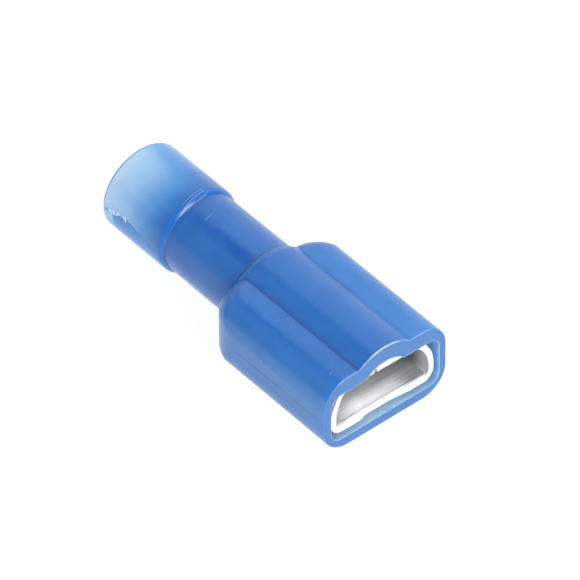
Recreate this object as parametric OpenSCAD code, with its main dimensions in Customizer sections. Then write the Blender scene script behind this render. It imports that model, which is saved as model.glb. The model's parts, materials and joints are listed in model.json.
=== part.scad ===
// Fully insulated female spade terminal for a 6.35 x 0.8 mm tab and 1.5 to 2.5 mm2 wire.
// The tab goes in at the mouth, which faces +X. The wire goes in from -X.
// The flat underside of the housing and the belly of the wire funnel rest on z = 0.

/* [Housing] */
// Width of the flat housing
box_w = 9; // [8.8:0.1:9.6]
// Height of the housing at its shoulders
box_h = 5.2; // [5.1:0.1:5.6]
// Length of the flat housing
box_l = 10.8; // [10.6:0.1:11.5]
// Rounding of the housing's long edges
edge_r = 1.75; // [1.2:0.05:1.8]
// Radius of the housing's back corners, seen from above
corner_r = 2.4; // [2.2:0.1:3.4]
// Rounding of the housing's back edges
back_r = 1.5; // [0.8:0.1:1.6]
// Rounding of the edge around the mouth
mouth_r = 0.08; // [0.04:0.02:0.2]
// Radius of the ridge along the top, about the barrel's axis
ridge_r = 3; // [2.85:0.05:3.1]
// Radius of the hollow along the ridge's foot
ridge_fillet = 0.4; // [0.2:0.1:1.2]
// Rounding of the ridge's back edge
ridge_back_r = 1; // [0.4:0.1:1.1]

/* [Barrels] */
// Length of the barrel that surrounds the crimp
grip_l = 5.4; // [5:0.1:6]
// Radius of that barrel at the housing
grip_r = 2.68; // [2.5:0.02:2.75]
// Radius of that barrel at the wire funnel
grip_back_r = 2.64; // [2.5:0.02:2.75]
// Length of the wire funnel
funnel_l = 5.5; // [5:0.1:7]
// Outer radius of the wire funnel
funnel_r = 2.85; // [2.8:0.05:3]
// Inner radius of the wire funnel
entry_r = 2.35; // [2:0.05:2.4]

/* [Tab space] */
// Width of the space inside the housing
space_w = 8; // [7.8:0.05:8.1]
// Height of the space under the shoulders
space_h = 3.45; // [3.35:0.05:3.5]
// Depth of the space from the mouth
space_l = 9.5; // [9.2:0.1:9.6]
// Thickness of the floor under the space
floor_t = 0.72; // [0.6:0.02:0.8]
// Radius of the space's corners
space_r = 0.75; // [0.5:0.05:0.9]
// Radius of the tunnel under the ridge
tunnel_r = 1.92; // [1.8:0.02:1.95]

/* [Terminal] */
// Thickness of the sheet
sheet_t = 0.38; // [0.34:0.02:0.4]
// Outer width of the rolled receptacle
socket_w = 7.6; // [7.4:0.05:7.7]
// Length of the rolled receptacle
socket_l = 7.6; // [7:0.1:7.8]
// Distance of the receptacle's front edge behind the mouth
socket_inset = 0.26; // [0.1:0.02:0.5]
// Gap between the receptacle's floor and the housing's floor
socket_lift = 0.24; // [0.1:0.02:0.3]
// Height above the receptacle's underside at which its walls stand widest
wall_rise = 1.12; // [1:0.02:1.2]
// Outer radius of the roll between the receptacle's floor and its walls
heel_outer_r = 0.8; // [0.6:0.05:0.95]
// Outer radius of the walls' slow inward curve
wall_outer_r = 2.8; // [2.4:0.1:3]
// Outer radius of the roll between the walls and the wings
roll_outer_r = 0.75; // [0.65:0.05:0.8]
// Length of the rolled crimp barrel
crimp_l = 6.1; // [5.6:0.1:6.2]
// Inner radius of the crimp barrel
crimp_r = 1.15; // [1:0.05:1.2]
// Width of the butt seam along the crimp barrel
seam = 0.08; // [0.04:0.02:0.2]

/* [Tab grip] */
// Angle of the wings where they grip the tab
wing_grip = 38; // [36:1:39]
// Angle of the wings at the front edge, where they are opened to let the tab in
wing_open = 5; // [4:1:20]
// Length over which the wings close down
lead_l = 2.1; // [1.5:0.1:3]
// How far the wing tips stand back from the front edge
wing_setback = 0.6; // [0.3:0.1:1]
// Length of a wing from its roll to its tip
wing_l = 2.45; // [2.2:0.05:2.5]
// Height of the locking dimple above the receptacle's floor
dimple_h = 0.2; // [0.1:0.05:0.3]
// Radius of the locking dimple
dimple_r = 0.9; // [0.6:0.05:1]
// Distance of the locking dimple behind the receptacle's front edge
dimple_back = 4.6; // [4:0.1:5]

/* [Front edge] */
// Width of the notch that the carrier strip left in the floor's edge, at its bottom
notch_w = 1.8; // [1:0.1:2.4]
// Depth of that notch
notch_d = 0.16; // [0.1:0.02:0.2]
// Length over which the notch goes in at its near end
notch_lead = 0.5; // [0.2:0.1:0.8]
// Length over which the notch runs out at its far end
notch_run = 1.4; // [0.4:0.1:1.6]
// How far the notch's bottom stands off the middle, toward the near side
notch_off = 0.25; // [0:0.05:0.4]
// Length of the bevel along the floor's edge
bevel_l = 0.26; // [0.2:0.02:0.4]
// Depth of that bevel
bevel_d = 0.16; // [0.1:0.02:0.2]

/* [Hidden] */
$fn = 96;
slack = 1;                                // how far a cutting shape passes the face that it cuts
bite = 0.04;                              // how deep a joined sheet lies inside its neighbour
total_l = funnel_l + grip_l + box_l;
axis_h = funnel_r;                        // height of the barrels' axis
box_z = funnel_l + grip_l;                // stations are measured from the wire end to the mouth
ridge_reach = 2;                          // the ridge's foot lies inside the housing here
rim_r = 0.2;                              // rounding of the funnel's rim
shoulder_r = 0.5;                         // rounding of the funnel's front shoulder
entry_chamfer = 0.15;
seat_step = 0.15;                         // how far the crimp barrel's seat lies past the funnel
cone_l = 1.4;                             // length of the cone that guides the strands
bore_run = 0.3;                           // how far the bore reaches into the housing
bore_lead = 0.5;                          // length over which the bore widens to the tunnel
seat_z = funnel_l + seat_step;
cone_z = seat_z - cone_l;
bore_end_z = box_z + bore_run;
crimp_outer_r = crimp_r + sheet_t;
crimp_z = seat_z + crimp_l;
socket_z = total_l - socket_inset;        // front edge of the receptacle
socket_back_z = socket_z - socket_l;
dimple_z = socket_z - dimple_back;
half_t = sheet_t / 2;                     // the sheet's outlines follow the middle of the sheet
sheet_h = floor_t + socket_lift + half_t;
wall_h = floor_t + socket_lift + wall_rise;
heel_r = heel_outer_r - half_t;
wall_r = wall_outer_r - half_t;
roll_r = roll_outer_r - half_t;
wall_turn = 38;                           // angle through which the walls curve inward
neck_turn = 95;                           // how far the neck rises around the crimp barrel
neck_overlap = 0.3;
neck_steps = 12;
lead_steps = 8;
heel_steps = 6;
wall_steps = 6;
roll_steps = 8;

// ---- general helpers --------------------------------------------------------------

// Everything is built standing up, from the wire end at z = 0 to the mouth, with the
// width along x and the height along y. This lays it down in the part's own frame.
module lay_down() {
    translate([-total_l / 2, 0, 0]) rotate([90, 0, 90]) children();
}

// Moves a shape onto the barrels' axis
module on_axis(z = 0) {
    translate([0, axis_h, z]) children();
}

// What a rounding of radius r takes off a corner whose tip is at the origin and whose
// sides run toward -x and +y
module corner_waste(r) {
    difference() {
        translate([-r, -slack]) square([r + slack, r + slack]);
        translate([-r, r]) circle(r);
    }
}

// A strip from the axis out to reach, with its outer corners rounded at both ends
module half_section(reach, l, back_r, front_r) {
    difference() {
        square([reach, l]);
        if (back_r > 0) translate([reach, 0]) corner_waste(back_r);
        if (front_r > 0) translate([reach, l]) mirror([0, 1]) corner_waste(front_r);
    }
}

module full_section(reach, l, back_r, front_r) {
    half_section(reach, l, back_r, front_r);
    mirror([1, 0]) half_section(reach, l, back_r, front_r);
}

// A w x h x l block with long edges of radius r and rounded ends: four posts of
// revolution in the corners, and two plates that cross between them
module rounded_block(w, h, l, r, back_r, front_r) {
    for (x = [r - w / 2, w / 2 - r], y = [r, h - r])
        translate([x, y, 0]) rotate_extrude() half_section(r, l, back_r, front_r);
    translate([0, h - r, 0]) rotate([90, 0, 0])
        linear_extrude(h - 2 * r) full_section(w / 2, l, back_r, front_r);
    translate([r - w / 2, h / 2, 0]) rotate([90, 0, 90])
        linear_extrude(w - 2 * r) full_section(h / 2, l, back_r, front_r);
}

// The back end of such a block, corner_r deep, with corners of corner_r seen from above
module rounded_back(w, h, r) {
    x = w / 2 - corner_r;
    for (side = [-x, x]) translate([side, 0, corner_r])
        rotate([-90, 0, 0]) rotate_extrude() half_section(corner_r, h, r, r);
    translate([-x, h / 2, 0]) rotate([90, 0, 90])
        linear_extrude(2 * x) full_section(h / 2, 2 * corner_r, r, 0);
}

// ---- insulator --------------------------------------------------------------------

// The flat housing, whose long edges run out where its back edges begin
module box() {
    translate([0, 0, box_z + corner_r])
        rounded_block(box_w, box_h, box_l - corner_r, edge_r, 0, mouth_r);
    translate([0, 0, box_z]) intersection() {
        rounded_back(box_w, box_h, back_r);
        rounded_block(box_w, box_h, 2 * corner_r, edge_r, 0, 0);
    }
}

// The ridge over the tunnel, of which the housing shows only the top
module ridge() {
    on_axis(box_z) intersection() {
        rotate_extrude() half_section(ridge_r, box_l, ridge_back_r, mouth_r);
        translate([-ridge_reach, 0, -slack]) cube([2 * ridge_reach, 2 * ridge_r, 2 * box_l]);
    }
}

// Takes a hollow of radius r out of a corner, with its mouth edge rounded like the rest
module hollow_cutter(r, l) {
    rotate_extrude() difference() {
        union() {
            square([r, l]);
            translate([0, l - mouth_r]) square([r + mouth_r, mouth_r + slack]);
        }
        translate([r + mouth_r, l - mouth_r]) circle(mouth_r);
    }
}

// The hollows along the ridge's two feet. Each is centred where it touches both the ridge
// and the housing's top, and its filling ends on the line from there to the ridge's axis.
module ridge_feet() {
    hollow_h = box_h + ridge_fillet;
    hollow_x = sqrt(pow(ridge_r + ridge_fillet, 2) - pow(hollow_h - axis_h, 2));
    outer = ridge_r / (ridge_r + ridge_fillet);
    inner = (ridge_r - 2 * mouth_r) / (ridge_r + ridge_fillet);
    l = box_l - back_r;
    half = [
        [hollow_x, hollow_h - axis_h] * inner,
        [hollow_x, hollow_h - axis_h] * outer,
        [hollow_x, box_h - axis_h],
        [hollow_x, box_h - axis_h - ridge_fillet]
    ];
    on_axis(box_z + back_r) difference() {
        linear_extrude(l) polygon(concat(half, [for (i = [3:-1:0]) [-half[i].x, half[i].y]]));
        for (x = [-hollow_x, hollow_x])
            translate([x, hollow_h - axis_h, 0]) hollow_cutter(ridge_fillet, l);
    }
}

// The wire funnel with its rounded shoulder, and the barrel around the crimp
module barrels() {
    on_axis() rotate_extrude() {
        half_section(funnel_r, funnel_l - shoulder_r, rim_r, 0);
        translate([funnel_r - shoulder_r, funnel_l - shoulder_r]) intersection() {
            circle(shoulder_r);
            square(shoulder_r);
        }
        square([funnel_r - shoulder_r, funnel_l]);
        polygon([
            [0, funnel_l - shoulder_r],
            [grip_back_r, funnel_l - shoulder_r],
            [grip_r, box_z + edge_r],
            [0, box_z + edge_r]
        ]);
    }
}

// The way through: funnel, cone, shoulder for the crimp barrel, bore and tunnel
module bore() {
    on_axis() rotate_extrude() polygon([
        [0, -slack],
        [entry_r + entry_chamfer, -slack],
        [entry_r + entry_chamfer, 0],
        [entry_r, entry_chamfer],
        [entry_r, cone_z],
        [crimp_r, seat_z],
        [crimp_outer_r, seat_z],
        [crimp_outer_r, bore_end_z],
        [tunnel_r, bore_end_z + bore_lead],
        [tunnel_r, total_l + slack],
        [0, total_l + slack]
    ]);
}

module insulator() {
    color("royalblue") lay_down() difference() {
        union() {
            box();
            ridge();
            ridge_feet();
            barrels();
        }
        translate([0, floor_t, total_l - space_l])
            rounded_block(space_w, space_h, space_l + slack, space_r, space_r, 0);
        bore();
    }
}

// ---- terminal ---------------------------------------------------------------------

// Points along an arc, without its first one
function arc(c, r, from, to, n) =
    [for (i = [1:n]) let (a = from + (to - from) * i / n) c + r * [cos(a), sin(a)]];

function blend(a, b, k) = [for (i = [0:len(a) - 1]) a[i] + (b[i] - a[i]) * k];

function ease(k) = k * k * (3 - 2 * k);

// The half section of a sheet, from its middle outward, mirrored to a whole one
function whole(half) =
    concat([for (i = [len(half) - 1:-1:1]) [-half[i].x, half[i].y]], half);

// Unit normal of a path at point i
function normal(path, i) =
    let (d = path[min(i + 1, len(path) - 1)] - path[max(i - 1, 0)]) [d.y, -d.x] / norm(d);

// The outline of a sheet of thickness t that is bent along a path
function sheet_ring(path, t) = concat(
    [for (i = [0:len(path) - 1]) path[i] + normal(path, i) * t / 2],
    [for (i = [len(path) - 1:-1:0]) path[i] - normal(path, i) * t / 2]
);

// Middle line of the receptacle's floor and heel, with n steps along the floor
function floor_half(n) =
    let (
        wide = socket_w / 2 - half_t,
        heel_c = [wide - heel_r, sheet_h + heel_r]
    ) concat(
        [for (i = [0:n]) [heel_c.x * i / n, sheet_h]],
        arc(heel_c, heel_r, -90, 0, heel_steps),
        [[wide, wall_h]]
    );

// Middle line of the receptacle: floor, heel, curved wall, roll and straight wing
function socket_half(wing_angle) =
    let (
        wall_c = [socket_w / 2 - half_t - wall_r, wall_h],
        roll_c = wall_c + (wall_r - roll_r) * [cos(wall_turn), sin(wall_turn)],
        root = roll_c + roll_r * [cos(90 + wing_angle), sin(90 + wing_angle)]
    ) concat(
        floor_half(1),
        arc(wall_c, wall_r, 0, wall_turn, wall_steps),
        arc(roll_c, roll_r, wall_turn, 90 + wing_angle, roll_steps),
        [root - wing_l * [cos(wing_angle), sin(wing_angle)]]
    );

// Middle line of the neck where it leaves the receptacle
function neck_half() = floor_half(heel_steps);

// Middle line of the crimp barrel's lower part, with as many points as the neck
function crimp_half() =
    let (r = crimp_r + half_t) concat(
        [[0, axis_h - r]],
        arc([0, axis_h], r, -90, neck_turn - 90, len(neck_half()) - 1)
    );

// A bent sheet that changes its section along z
module bent_sheet(rings, stations) {
    n = len(rings[0]);
    last = len(rings) - 1;
    side = n / 2;
    polyhedron(
        points = [for (k = [0:last], p = rings[k]) [p.x, p.y, stations[k]]],
        faces = concat(
            [for (k = [0:last - 1], i = [0:n - 1])
                [k * n + i, (k + 1) * n + i, (k + 1) * n + (i + 1) % n]],
            [for (k = [0:last - 1], i = [0:n - 1])
                [k * n + i, (k + 1) * n + (i + 1) % n, k * n + (i + 1) % n]],
            [for (i = [0:side - 2]) [i, i + 1, n - 2 - i, n - 1 - i]],
            [for (i = [0:side - 2]) [for (j = [n - 1 - i, n - 2 - i, i + 1, i]) last * n + j]]
        )
    );
}

module receptacle() {
    steps = [for (i = [0:lead_steps]) i / lead_steps];
    stations = concat([socket_back_z], [for (k = steps) socket_z - lead_l * (1 - k)]);
    angles = concat([wing_grip], [for (k = steps) wing_grip + (wing_open - wing_grip) * ease(k)]);
    bent_sheet([for (a = angles) sheet_ring(whole(socket_half(a)), sheet_t)], stations);
}

module neck() {
    from = socket_back_z + neck_overlap;
    steps = [for (i = [0:neck_steps]) i / neck_steps];
    thin = sheet_t - bite;
    stations = concat([crimp_z - neck_overlap, crimp_z], [for (k = steps) if (k > 0)
        crimp_z + (socket_back_z - crimp_z) * k], [from]);
    rings = concat(
        [for (i = [0:1]) sheet_ring(whole(crimp_half()), thin)],
        [for (k = steps) if (k > 0)
            sheet_ring(whole(blend(crimp_half(), neck_half(), ease(k))), thin)],
        [sheet_ring(whole(neck_half()), thin)]
    );
    bent_sheet(rings, stations);
}

module crimp_barrel() {
    on_axis(seat_z) difference() {
        cylinder(r = crimp_outer_r, h = crimp_l);
        translate([0, 0, -slack]) cylinder(r = crimp_r, h = crimp_l + 2 * slack);
        translate([-seam / 2, 0, -slack]) cube([seam, 2 * crimp_outer_r, crimp_l + 2 * slack]);
    }
}

// Cuts an outline out of the sheet from height h upward or downward. The outline has its
// y axis running back from the receptacle's front edge.
module die_cut(h, up) {
    translate([0, h, socket_z]) rotate([-90, 0, 0])
        translate([0, 0, up ? 0 : -box_h]) linear_extrude(box_h) children();
}

// The slanting front edges of the wings, and the notch where the carrier strip was
module front_cuts() {
    root = socket_w / 2 - roll_r;
    die_cut(wall_h + roll_r, true)
        polygon([[-root, 0], [0, wing_setback], [root, 0], [root, -slack], [-root, -slack]]);
    translate([-notch_off, 0, 0]) die_cut(wall_h, false) polygon([
        [-notch_w / 2 - notch_lead, 0],
        [-notch_w / 2, notch_d],
        [notch_w / 2, notch_d],
        [notch_w / 2 + notch_run, 0],
        [notch_w / 2 + notch_run, -slack],
        [-notch_w / 2 - notch_lead, -slack]
    ]);
}

// The coined bevel that lets the tab ride up onto the floor
module bevel() {
    w = socket_w - 2 * heel_r;
    translate([-w / 2, sheet_h + half_t, socket_z]) rotate([0, 90, 0]) linear_extrude(w)
        polygon([[bevel_l, 0], [-slack, slack], [-slack, -bevel_d * (bevel_l + slack) / bevel_l]]);
}

// The ball of which the locking dimple shows the cap, raised above height h
module dimple_ball(h) {
    ball_r = (dimple_r * dimple_r + dimple_h * dimple_h) / (2 * dimple_h);
    translate([0, h + dimple_h - ball_r, dimple_z]) sphere(ball_r);
}

module dimple() {
    intersection() {
        dimple_ball(sheet_h + half_t);
        translate([-dimple_r - slack, sheet_h, dimple_z - dimple_r - slack])
            cube([2 * (dimple_r + slack), sheet_t, 2 * (dimple_r + slack)]);
    }
}

module terminal() {
    color("silver") lay_down() difference() {
        union() {
            receptacle();
            neck();
            crimp_barrel();
            dimple();
        }
        front_cuts();
        bevel();
        dimple_ball(sheet_h - half_t);
    }
}

insulator();
terminal();
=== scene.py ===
import json
import math
import random

import bpy
from mathutils import Matrix, Vector
from mathutils.geometry import interpolate_bezier


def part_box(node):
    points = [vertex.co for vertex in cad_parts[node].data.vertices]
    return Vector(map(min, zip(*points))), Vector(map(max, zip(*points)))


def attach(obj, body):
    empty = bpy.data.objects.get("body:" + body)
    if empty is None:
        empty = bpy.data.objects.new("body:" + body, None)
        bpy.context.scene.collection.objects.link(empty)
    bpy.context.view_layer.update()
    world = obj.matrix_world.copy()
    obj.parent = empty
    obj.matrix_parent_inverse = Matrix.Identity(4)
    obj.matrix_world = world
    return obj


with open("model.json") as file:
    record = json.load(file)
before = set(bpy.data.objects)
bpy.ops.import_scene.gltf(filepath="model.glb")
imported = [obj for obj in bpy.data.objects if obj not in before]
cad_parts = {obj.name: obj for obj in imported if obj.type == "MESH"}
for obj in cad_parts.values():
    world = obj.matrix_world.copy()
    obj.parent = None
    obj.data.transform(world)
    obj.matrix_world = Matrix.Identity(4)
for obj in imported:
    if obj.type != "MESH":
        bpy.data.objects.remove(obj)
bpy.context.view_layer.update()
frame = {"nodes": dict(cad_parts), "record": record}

MM = 0.001
mounts = {m["name"]: m for m in frame["record"]["mounts"]}
shell_low, shell_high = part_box("insulator")

# Stations along the part and heights, in millimetres in the part's frame
REAR = shell_low.x / MM
MOUTH = shell_high.x / MM
AXIS_HEIGHT = mounts["wire_entry"]["pos_m"][2] / MM
FUNNEL_RADIUS = AXIS_HEIGHT  # the funnel rests on the plane z = 0
STEP = REAR + 5.5            # front of the wire funnel
HOUSING_BACK = STEP + 5.4    # back of the flat housing
PARTING_HEIGHT = 2.6         # where the two halves of the mould met


# ---- camera -------------------------------------------------------------------------

def aim_camera():
    """A long lens that looks down on the mouth and on the left shoulder."""
    azimuth, elevation, roll = (math.radians(a) for a in (50.2567, 44.0108, -0.4939))
    distance, reach = 562.7 * MM, 32.768 * MM
    aim = Vector((3.397, -0.735, 5.303)) * MM
    back = Vector((math.sin(azimuth) * math.cos(elevation),
                   -math.cos(azimuth) * math.cos(elevation), math.sin(elevation)))
    right = Vector((math.cos(azimuth), math.sin(azimuth), 0))
    up = back.cross(right)
    right, up = (math.cos(roll) * right + math.sin(roll) * up,
                 math.cos(roll) * up - math.sin(roll) * right)
    data = bpy.data.cameras.new("camera")
    data.sensor_width = 36
    data.lens = data.sensor_width * distance / reach
    data.clip_start, data.clip_end = distance / 10, distance * 20
    camera = bpy.data.objects.new("camera", data)
    axes = Matrix((right, up, back)).transposed().to_4x4()
    camera.matrix_world = Matrix.Translation(aim + back * distance) @ axes
    bpy.context.scene.collection.objects.link(camera)
    bpy.context.scene.camera = camera


# ---- shader maths -------------------------------------------------------------------

class Field:
    """A value of a material that its nodes work out, and that takes Python's operators."""

    def __init__(self, paint, socket):
        self.paint, self.socket = paint, socket

    def __add__(self, other):
        return self.paint.math("ADD", self, other)

    def __sub__(self, other):
        return self.paint.math("SUBTRACT", self, other)

    def __rsub__(self, other):
        return self.paint.math("SUBTRACT", other, self)

    def __mul__(self, other):
        return self.paint.math("MULTIPLY", self, other)

    def __truediv__(self, other):
        return self.paint.math("DIVIDE", self, other)

    def __pow__(self, other):
        return self.paint.math("POWER", self, other)

    def __abs__(self):
        return self.paint.math("ABSOLUTE", self)

    __radd__ = __add__
    __rmul__ = __mul__


class Paint:
    """A material's node tree, with its Principled shader."""

    def __init__(self, name, settings):
        self.material = bpy.data.materials.new(name)
        self.material.use_nodes = True
        self.tree = self.material.node_tree
        self.shader = self.tree.nodes["Principled BSDF"]
        for socket, value in settings.items():
            self.shader.inputs[socket].default_value = value
        self.place = self.node("ShaderNodeTexCoord", output="Object")
        self.x, self.y, self.z = (
            self.node("ShaderNodeSeparateXYZ", inputs={"Vector": self.place}, output=axis) / MM
            for axis in "XYZ")
        self.above_axis = self.z - AXIS_HEIGHT

    def node(self, kind, settings=None, inputs=None, output=0):
        """Adds a node, sets its settings and then its sockets, and gives one output."""
        made = self.tree.nodes.new(kind)
        for name, value in (settings or {}).items():
            setattr(made, name, value)
        for name, value in (inputs or {}).items():
            if isinstance(value, Field):
                self.tree.links.new(value.socket, made.inputs[name])
            else:
                made.inputs[name].default_value = value
        return Field(self, made.outputs[output])

    def math(self, operation, *values):
        return self.node("ShaderNodeMath", {"operation": operation}, dict(enumerate(values)))

    def rise(self, value, start, end):
        """Goes smoothly from 0 at start to 1 at end."""
        return self.node("ShaderNodeMapRange", {"interpolation_type": "SMOOTHSTEP"},
                         {"Value": value, "From Min": start, "From Max": end})

    def band(self, value, low, high, soft):
        """1 between low and high, and 0 from soft outside them."""
        return self.rise(value, low - soft, low) * self.rise(value, high + soft, high)

    def mix(self, share, a, b):
        """The colour a, turning to b as share goes from 0 to 1."""
        a, b = (c if isinstance(c, Field) else (*c, 1) for c in (a, b))
        return self.node("ShaderNodeMix", {"data_type": "RGBA"}, {0: share, 6: a, 7: b}, output=2)

    def stretched(self, scale):
        """The place in the part's frame, scaled along each axis."""
        return self.node("ShaderNodeVectorMath", {"operation": "MULTIPLY"},
                         {0: self.place, 1: [s / MM for s in scale]})

    def noise(self, scale, detail=3):
        """Noise with that many lumps per millimetre along each axis."""
        return self.node("ShaderNodeTexNoise", {},
                         {"Vector": self.stretched(scale), "Scale": 1, "Detail": detail,
                          "Roughness": 0.55})

    def cells(self, scale):
        """How far the nearest of many scattered points lies, in parts of their spacing."""
        return self.node("ShaderNodeTexVoronoi", {},
                         {"Vector": self.stretched(scale), "Scale": 1}, output="Distance")

    def bumps(self, height, distance):
        """A normal for a height field whose 1 stands that many millimetres high."""
        return self.node("ShaderNodeBump", {}, {"Height": height, "Strength": 1,
                                                "Distance": distance * MM})

    def feed(self, **sockets):
        for name, value in sockets.items():
            self.tree.links.new(value.socket, self.shader.inputs[name.replace("_", " ")])


# ---- materials ----------------------------------------------------------------------

# The nylon's walls, from deep over metal to milky at the funnel's rim
DARK_BLUE = (0.010, 0.130, 0.52)
DEEP_BLUE = (0.024, 0.18, 0.57)
MID_BLUE = (0.032, 0.205, 0.62)
SKY_BLUE = (0.09, 0.34, 0.76)
MILK_BLUE = (0.42, 0.68, 0.92)
PALE_BLUE = (0.74, 0.83, 1.0)

# Single places of the nylon
FACE_BLUE = (0.065, 0.195, 0.46)
# Painted light: the cavity's floor and walls are lighter, standing for light that comes through
# the nylon
LIT_CAVITY_FLOOR_BLUE = (0.288, 0.43, 0.58)
LIT_CAVITY_WALL_BLUE = (0.36, 0.62, 0.95)
# Painted shade for the housing's underside
UNDERSIDE_SHADE_BLUE = (0.02, 0.09, 0.28)
# The mould's parting line, and painted shade at the ridge's foot and the funnel's step
LINE_AND_SHADE_BLUE = (0.002, 0.085, 0.42)
# White of scratches and specks, and of the painted highlight on the mouth's edge
WHITE_MARK_AND_HIGHLIGHT = (0.72, 0.80, 0.90)
FRAYED_BLUE = (0.22, 0.42, 0.76)
FRAYED_WHITE = (0.66, 0.75, 0.93)

# Tin: painted light and painted shade for the floor, painted shade in the bend's crease and deep
# inside, and the outside's own tones
TIN_LIT_WHITE = (1.0, 1.0, 1.0)
TIN_GREY = (0.30, 0.31, 0.33)
TIN_CREASE_SHADE = (0.06, 0.06, 0.07)
TIN_OUTSIDE = (0.80, 0.80, 0.79)
TIN_OUTSIDE_BRIGHT = (0.93, 0.93, 0.92)
TIN_IN_THE_DARK = (0.14, 0.15, 0.16)

TABLE_GREY = (0.11, 0.11, 0.11)
TABLE_DUST = (0.13, 0.13, 0.13)

# Painted glow that stands for light coming through or back from a surface
NO_GLOW = (0, 0, 0)
FULL_GLOW = (1, 1, 1)
WALL_GLOW = (0, 0.006, 0.068)
TEAR_GLOW = (0, 0.055, 0.09)
FRAYED_GLOW = (0.9, 0.95, 1)


def on_housing(paint):
    return paint.rise(paint.x, HOUSING_BACK, HOUSING_BACK + 1)


def inside_cavity(paint):
    """1 on the walls of the space that the terminal sits in, and 0 outside."""
    half_width, half_height, middle, corner, tunnel, depth = 4, 1.725, 2.445, 0.75, 1.92, 9.6
    across = paint.math("MAXIMUM", abs(paint.y) - (half_width - corner), 0)
    along = paint.math("MAXIMUM", abs(paint.z - middle) - (half_height - corner), 0)
    flat = paint.rise((across ** 2 + along ** 2) ** 0.5, corner + 0.03, corner + 0.01)
    from_axis = (paint.y ** 2 + paint.above_axis ** 2) ** 0.5
    return (paint.math("MAXIMUM", flat, paint.rise(from_axis, tunnel + 0.03, tunnel + 0.01))
            * paint.rise(paint.x, MOUTH - depth, MOUTH - depth + 0.4))


def below_tear(paint):
    """1 on the funnel's side under the torn strip, where the wall is painted a deeper, less milky
    blue and given a faint painted glow.
    """
    angle = paint.math("ARCTAN2", paint.y, paint.above_axis) * math.degrees(1)
    tear = -80 - (paint.x - REAR - 2.2) ** 2 * 3.2
    return (paint.rise(tear - angle, 0, 3) * paint.rise(angle, -130, -112)
            * paint.rise(paint.x, REAR + 0.75, REAR + 1.15))


def paleness(paint, clouds, under_tear):
    """How milky the nylon looks: most where its wall is thin and nothing lies behind it, and
    painted paler on the side that the lamps light.
    """
    x, y = paint.x, paint.y
    lit_side = paint.rise(paint.above_axis * 0.68 - y * 0.73, 0.8, 2.9)
    hollow = (STEP - 0.5 - x + (clouds - 0.5) * 1.8) / (STEP - REAR) * (0.48 + lit_side * 0.66)
    hollow = hollow * (1 - under_tear * 0.9)
    # Paler on the +Y shoulder as painted light shining through, paler where the walls are thin
    # toward the −Y side, and slightly toward the mouth
    thin_and_lit_walls = (paint.rise(y, 1.6, 2.2) * 0.12 + paint.rise(y, -3.1, -3.9) * 0.07
                  + paint.rise(y, -4.1, -4.4) * 0.05 + paint.rise(x, MOUTH - 4, MOUTH) * 0.03)
    return paint.math("MAXIMUM", hollow, on_housing(paint) * thin_and_lit_walls)


def wall_blues(paint, clouds, pale):
    """The outside's blue: darker around the crimp barrel, with a dark streak over it that is
    partly the barrel's seam seen through the wall and partly painted shade, milky where the wall
    is pale, with a painted shade line at the rear rim and painted shade on the housing's
    underside.
    """
    x, y = paint.x, paint.y
    colour = paint.mix(paint.rise(clouds, 0.35, 0.7), DEEP_BLUE, MID_BLUE)
    barrel = paint.band(x, STEP, HOUSING_BACK, 0.3)
    # A dark streak along the barrel's top, partly its seam seen through the wall and partly
    # painted shade
    seam_and_shade_streak = (paint.band(y, -1.2, -0.65, 0.3) * paint.rise(paint.above_axis, 1, 2)
                    * paint.rise(x, STEP - 1, HOUSING_BACK))
    colour = paint.mix(barrel * (0.12 + seam_and_shade_streak * 0.8), colour, DARK_BLUE)
    colour = paint.mix(paint.rise(pale, 0, 0.3), colour, SKY_BLUE)
    colour = paint.mix(paint.rise(pale, 0.2, 0.75), colour, MILK_BLUE)
    colour = paint.mix(paint.rise(pale, 0.65, 1.15), colour, PALE_BLUE)
    # Painted shade: a thin darker line along the funnel's rounded rear rim
    rim = paint.rise(x, REAR + 0.24, REAR + 0.13)
    colour = paint.mix(rim * 0.7, colour, MID_BLUE)
    # Painted shade on the housing's underside
    shaded_underside = paint.rise(paint.z, 1.6, 0.9) * on_housing(paint)
    return paint.mix(shaded_underside * 0.85, colour, UNDERSIDE_SHADE_BLUE)


def mould_line_and_crease_shade(paint):
    """Painted shade in the corner at the ridge's foot, the line where the mould parted, and a band
    of painted shade at the funnel's step.
    """
    x, y = paint.x, paint.y
    # Painted shade in the corner at the ridge's foot, also cut as a groove in the bumps
    foot = (paint.band(y, -2.00, -1.90, 0.06) * paint.band(paint.above_axis, 2.2, 2.5, 0.1)
            * paint.rise(x, HOUSING_BACK + 0.7, HOUSING_BACK + 1.2))
    parting = (paint.band(paint.z, PARTING_HEIGHT - 0.03, PARTING_HEIGHT, 0.03)
               * paint.rise(y, -4.3, -4.4) * paint.band(x, 3.5, 9.7, 0.6))
    # Painted shade in a band at the funnel's step
    step = paint.band(x, STEP - 0.45, STEP + 0.05, 0.25)
    return foot, parting, step


def edge_highlight(paint):
    """A painted highlight along the front face's upper edge, strongest along the ridge."""
    ridge = paint.band(paint.y, -0.8, 0.7, 0.5)
    return (paint.band(paint.x, MOUTH - 0.08, MOUTH - 0.03, 0.02)
            * paint.rise(paint.above_axis, 2.1, 2.3) * (0.25 + ridge * 0.6))


def scratches(paint):
    """Three fine scratches over the top of the funnel's step, and one on the barrel."""
    around = paint.x + paint.y * 0.12
    over_step = 0
    for start in (STEP - 0.55, STEP - 0.36, STEP - 0.12):
        over_step = paint.band(around, start, start + 0.02, 0.025) + over_step
    over_step = over_step * paint.band(paint.y, -0.9, 0.45, 0.25)
    on_barrel = (paint.band(around, STEP + 1.2, STEP + 1.22, 0.02)
                 * paint.band(paint.y, -0.7, -0.2, 0.15))
    return (over_step + on_barrel) * paint.rise(paint.above_axis, 1, 2)


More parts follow.
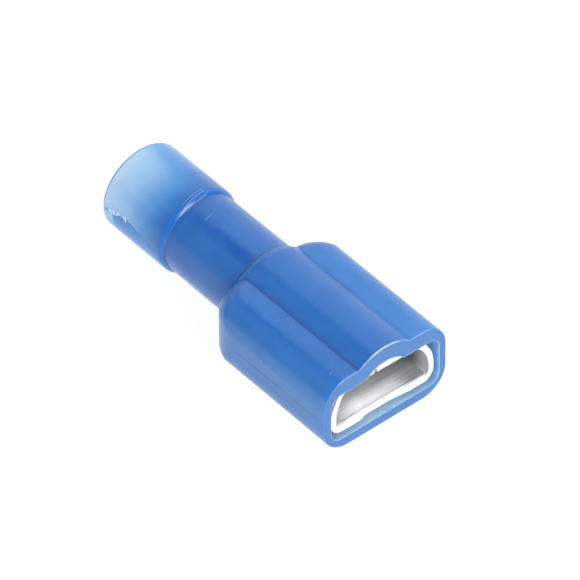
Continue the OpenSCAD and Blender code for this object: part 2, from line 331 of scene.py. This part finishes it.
def specks(paint):
    """Tiny loose specks in patches on the housing."""
    return (paint.rise(paint.cells((1.3, 1.3, 1.3)), 0.09, 0.05)
            * paint.rise(paint.noise((0.7, 0.7, 0.7), detail=1), 0.52, 0.6) * on_housing(paint))


def nylon():
    """Milky blue nylon with a duller front face, and cavity walls painted lighter as painted light
    that comes through the nylon.
    """
    paint = Paint("nylon", {"IOR": 1.53, "Subsurface Weight": 0.8,
                            "Subsurface Radius": (0.25, 0.6, 1.0), "Subsurface Scale": 0.6 * MM,
                            "Emission Strength": 1})
    clouds = paint.noise((0.25, 0.4, 0.4))
    under_tear = below_tear(paint)
    pale = paleness(paint, clouds, under_tear)
    cavity = inside_cavity(paint)
    face = paint.rise(paint.x, MOUTH - 0.03, MOUTH - 0.01) * (1 - cavity)
    foot, parting, step = mould_line_and_crease_shade(paint)

    colour = wall_blues(paint, clouds, pale)
    colour = paint.mix(foot + parting * 0.6 + step * 0.15, colour, LINE_AND_SHADE_BLUE)
    # Painted light on the cavity's walls, greyer on its floor
    lit_cavity_walls = paint.mix(paint.rise(paint.z, 0.8, 1.3), LIT_CAVITY_FLOOR_BLUE, LIT_CAVITY_WALL_BLUE)
    colour = paint.mix(cavity, paint.mix(face, colour, FACE_BLUE), lit_cavity_walls)
    # White scratches and specks, and the painted highlight on the mouth's upper edge
    marks_and_highlight = (scratches(paint) * 0.3 + specks(paint) * (1 - face) * 0.3
                   + edge_highlight(paint))
    colour = paint.mix(marks_and_highlight, colour, WHITE_MARK_AND_HIGHLIGHT)

    grain = paint.noise((9, 9, 9), detail=4)
    roughness = 0.22 + grain * 0.06 + face * 0.25
    relief = grain * 0.0008 - foot * 0.012 - parting * 0.008
    # A painted glow on the pale walls' −Y side, and under the torn strip, standing for light that
    # comes through the nylon
    shining_through = paint.rise(pale, 0.15, 0.9) * paint.rise(paint.y, 0.2, -1.6) * (1 - cavity)
    glow = paint.mix(shining_through, NO_GLOW, WALL_GLOW)
    paint.feed(Base_Color=colour, Roughness=roughness, Normal=paint.bumps(relief, 1),
               Emission_Color=paint.mix(under_tear, glow, TEAR_GLOW))
    return paint.material


def tin():
    """Tin plate with the streaks of the rolled sheet; its floor has painted light near the mouth,
    painted shade deeper in, and painted reflections that glow.
    """
    paint = Paint("tin", {"Metallic": 0.5, "Emission Strength": 0.42})
    x, y = paint.x, paint.y
    rolled = paint.noise((7, 0.35, 7), detail=4)
    patches = paint.noise((0.8, 0.4, 0.8), detail=1)
    on_floor = paint.rise(paint.z, 1.5, 1.4) * paint.rise(abs(y), 3.6, 3.3)

    # Painted light on the floor, brightest near the mouth, with painted shade toward +Y back from
    # the front edge and in the −Y corner near the mouth
    near_mouth = paint.rise(x, MOUTH - 2.2, MOUTH - 0.8)
    shaded = paint.rise(y, 0.6, 3.2) * paint.rise(x, MOUTH - 0.35, MOUTH - 0.5)
    corner = paint.rise(y, -2.1, -2.7) * paint.rise(x, MOUTH - 1.4, MOUTH - 1)
    light = (near_mouth * 0.85 + 0.48) * (1 - shaded * 0.85) - corner * 0.5 + (patches - 0.5) * 0.7
    floor = paint.mix(light, TIN_GREY, TIN_LIT_WHITE)
    floor = paint.mix(paint.rise(rolled, 0.5, 0.65) * 0.4, floor, TIN_GREY)
    # Painted shade in the crease along the sheet's bend
    bend_crease_shade = paint.band(x, MOUTH - 0.60, MOUTH - 0.58, 0.02) * paint.band(y, -3, 2.6, 0.3)
    floor = paint.mix(bend_crease_shade * paint.rise(patches, 0.35, 0.5) * 0.8, floor, TIN_CREASE_SHADE)

    outside = paint.mix(rolled, TIN_OUTSIDE, TIN_OUTSIDE_BRIGHT)
    # Painted shade on the sheet's outside deeper inside the housing, most toward +Y
    deep = paint.rise(x, MOUTH - 0.5, MOUTH - 2.2) * (0.35 + paint.rise(y, 1, 3) * 0.6)
    outside = paint.mix(deep, outside, TIN_IN_THE_DARK)

    # Painted reflections that glow on the floor behind the mouth and on its front bevel
    mirrored = (paint.band(x, MOUTH - 1.0, MOUTH - 0.65, 0.75) * paint.band(y, -1, 0.8, 1.8)
                * 0.75 * (0.3 + rolled * 0.6 + patches * 0.6) * (1 - bend_crease_shade * 0.6))
    front_bevel = paint.rise(x, MOUTH - 0.45, MOUTH - 0.35) * 0.6
    glow = on_floor * (mirrored + front_bevel)
    paint.feed(Base_Color=paint.mix(on_floor, outside, floor), Roughness=0.28 + rolled * 0.16,
               Emission_Color=paint.mix(glow, NO_GLOW, FULL_GLOW),
               Normal=paint.bumps(rolled, 0.006))
    return paint.material


def torn_nylon():
    """Frayed nylon: white near the funnel's rim and at the mouth, and blue between, with a faint
    painted glow on the white.
    """
    paint = Paint("torn_nylon", {"IOR": 1.53, "Emission Strength": 0.12})
    frayed = paint.noise((5, 5, 5), detail=4)
    near_an_end = paint.rise(abs(paint.x - REAR - 8), 4, 5.2)
    white = paint.rise(frayed, 0.4, 0.58) * near_an_end
    paint.feed(Base_Color=paint.mix(white, FRAYED_BLUE, FRAYED_WHITE),
               Roughness=0.4 + frayed * 0.3,
               Emission_Color=paint.mix(white, NO_GLOW, FRAYED_GLOW),
               Normal=paint.bumps(frayed, 0.03))
    return paint.material


def white_table():
    paint = Paint("white_table", {"Roughness": 0.9, "Emission Color": (1, 1, 1, 1),
                                  "Emission Strength": 0.95, "Specular IOR Level": 0})
    dust = paint.noise((0.02, 0.02, 0.02))
    paint.feed(Base_Color=paint.mix(dust, TABLE_GREY, TABLE_DUST))
    return paint.material


# ---- wear ---------------------------------------------------------------------------

def add_piece(name, corners, faces, material):
    """A small piece that stays with the part, from corners in millimetres."""
    mesh = bpy.data.meshes.new(name)
    mesh.from_pydata([Vector(c) * MM for c in corners], [], faces)
    mesh.materials.append(material)
    piece = bpy.data.objects.new(name, mesh)
    bpy.context.scene.collection.objects.link(piece)
    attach(piece, "root")


def torn_flash(material):
    """The ragged strip of torn nylon that runs along the funnel's side from its rim."""
    ragged = random.Random(4)
    count = 90
    tufts = ((0.17, 0.17, 1), (0.47, 0.09, 0.7))  # share of the way, reach and size of each
    # The course runs through stations from the rim, and angles around the funnel from its top
    course = interpolate_bezier((0.2, -90, 0), (1.6, -80, 0), (2.9, -74, 0), (4.3, -94, 0),
                                count + 1)
    corners, faces = [], []
    for i, (x, angle, _) in enumerate(course):
        thick = max(max(0, 1 - abs(i / count - where) / reach) ** 0.7 * size
                    for where, reach, size in tufts)
        width = 0.016 + thick * ragged.uniform(0.10, 0.40)
        height = 0.012 + thick * ragged.uniform(0.02, 0.14)
        drift = thick * ragged.uniform(-0.14, 0.12)
        for side, lift in ((-width, -0.03), (0, height), (width, -0.03)):
            turn = math.radians(angle) + (side + drift) / FUNNEL_RADIUS
            radius = FUNNEL_RADIUS + lift
            corners.append((REAR + x, radius * math.sin(turn),
                            AXIS_HEIGHT + radius * math.cos(turn)))
        if i:
            last = 3 * i
            faces += [(last - 3, last - 2, last + 1, last),
                      (last - 2, last - 1, last + 2, last + 1)]
    add_piece("torn_flash", corners, faces, material)


def crumbs(material):
    """Whitish crumbs of nylon on the lower lip of the cavity."""
    loose = random.Random(9)
    count, lip_height = 90, 0.74
    corners, faces = [], []
    for _ in range(count):
        centre = Vector((MOUTH - 0.06 - abs(loose.gauss(0, 0.09)), loose.gauss(0.3, 0.36),
                         lip_height))
        size = loose.uniform(0.012, 0.045)
        first = len(corners)
        for direction in ((1, 0, 0), (0, 1, 0), (-1, 0, 0), (0, -1, 0), (0, 0, 1), (0, 0, -1)):
            corners.append(centre + Vector(direction) * size * loose.uniform(0.4, 1.3))
        for a, b in ((0, 1), (1, 2), (2, 3), (3, 0)):
            faces += [(first + a, first + b, first + 4), (first + b, first + a, first + 5)]
    add_piece("crumbs", corners, faces, material)


# ---- stage --------------------------------------------------------------------------

def lay_table():
    half, top = 2.0, -0.01 * MM  # a hair under the part, whose flat base would share its plane
    mesh = bpy.data.meshes.new("table")
    mesh.from_pydata([(-half, -half, top), (half, -half, top), (half, half, top),
                      (-half, half, top)], [], [(0, 1, 2, 3)])
    table = bpy.data.objects.new("table", mesh)
    mesh.materials.append(white_table())
    bpy.context.scene.collection.objects.link(table)


def soft_box(name, toward, distance, width, height, radiance, colour=(1, 1, 1)):
    """A rectangular light that stands toward that direction and faces the part, in metres."""
    data = bpy.data.lights.new(name, "AREA")
    data.shape, data.size, data.size_y = "RECTANGLE", width, height
    data.color = colour
    data.energy = radiance * math.pi * width * height
    light = bpy.data.objects.new(name, data)
    direction = Vector(toward).normalized()
    light.location = direction * distance
    light.rotation_mode = "QUATERNION"
    light.rotation_quaternion = direction.to_track_quat("Z", "Y")
    bpy.context.scene.collection.objects.link(light)


def light_room():
    """A dim room that shows as a pale backdrop."""
    world = bpy.data.worlds.new("room")
    world.use_nodes = True
    tree = world.node_tree
    backdrop = tree.nodes["Background"]
    seen = tree.nodes.new("ShaderNodeLightPath")
    strength = tree.nodes.new("ShaderNodeMapRange")
    strength.inputs["To Min"].default_value = 0.12
    strength.inputs["To Max"].default_value = 1.0
    backdrop.inputs["Color"].default_value = (1, 1, 1, 1)
    tree.links.new(seen.outputs["Is Camera Ray"], strength.inputs["Value"])
    tree.links.new(strength.outputs[0], backdrop.inputs["Strength"])
    bpy.context.scene.world = world


def dress(node, material):
    slots = frame["nodes"][node].data.materials
    slots.clear()
    slots.append(material)


aim_camera()
light_room()
lay_table()
soft_box("key", (-0.35, 0.75, 0.8), 0.25, 0.36, 0.30, 0.85)
soft_box("wall", (-0.45, 0.9, 0.12), 0.25, 0.30, 0.08, 0.75)
soft_box("back", (-1, 0.1, 0.35), 0.30, 0.30, 0.20, 0.6)
soft_box("fill", (-0.35, -0.75, 0.55), 0.30, 0.36, 0.40, 0.40, (0.80, 0.91, 1.0))
soft_box("front", (0.80, -0.05, 0.6), 0.30, 0.16, 0.16, 11)
bpy.context.scene.view_settings.view_transform = "Standard"
dress("insulator", nylon())
dress("terminal", tin())
torn = torn_nylon()
torn_flash(torn)
crumbs(torn)
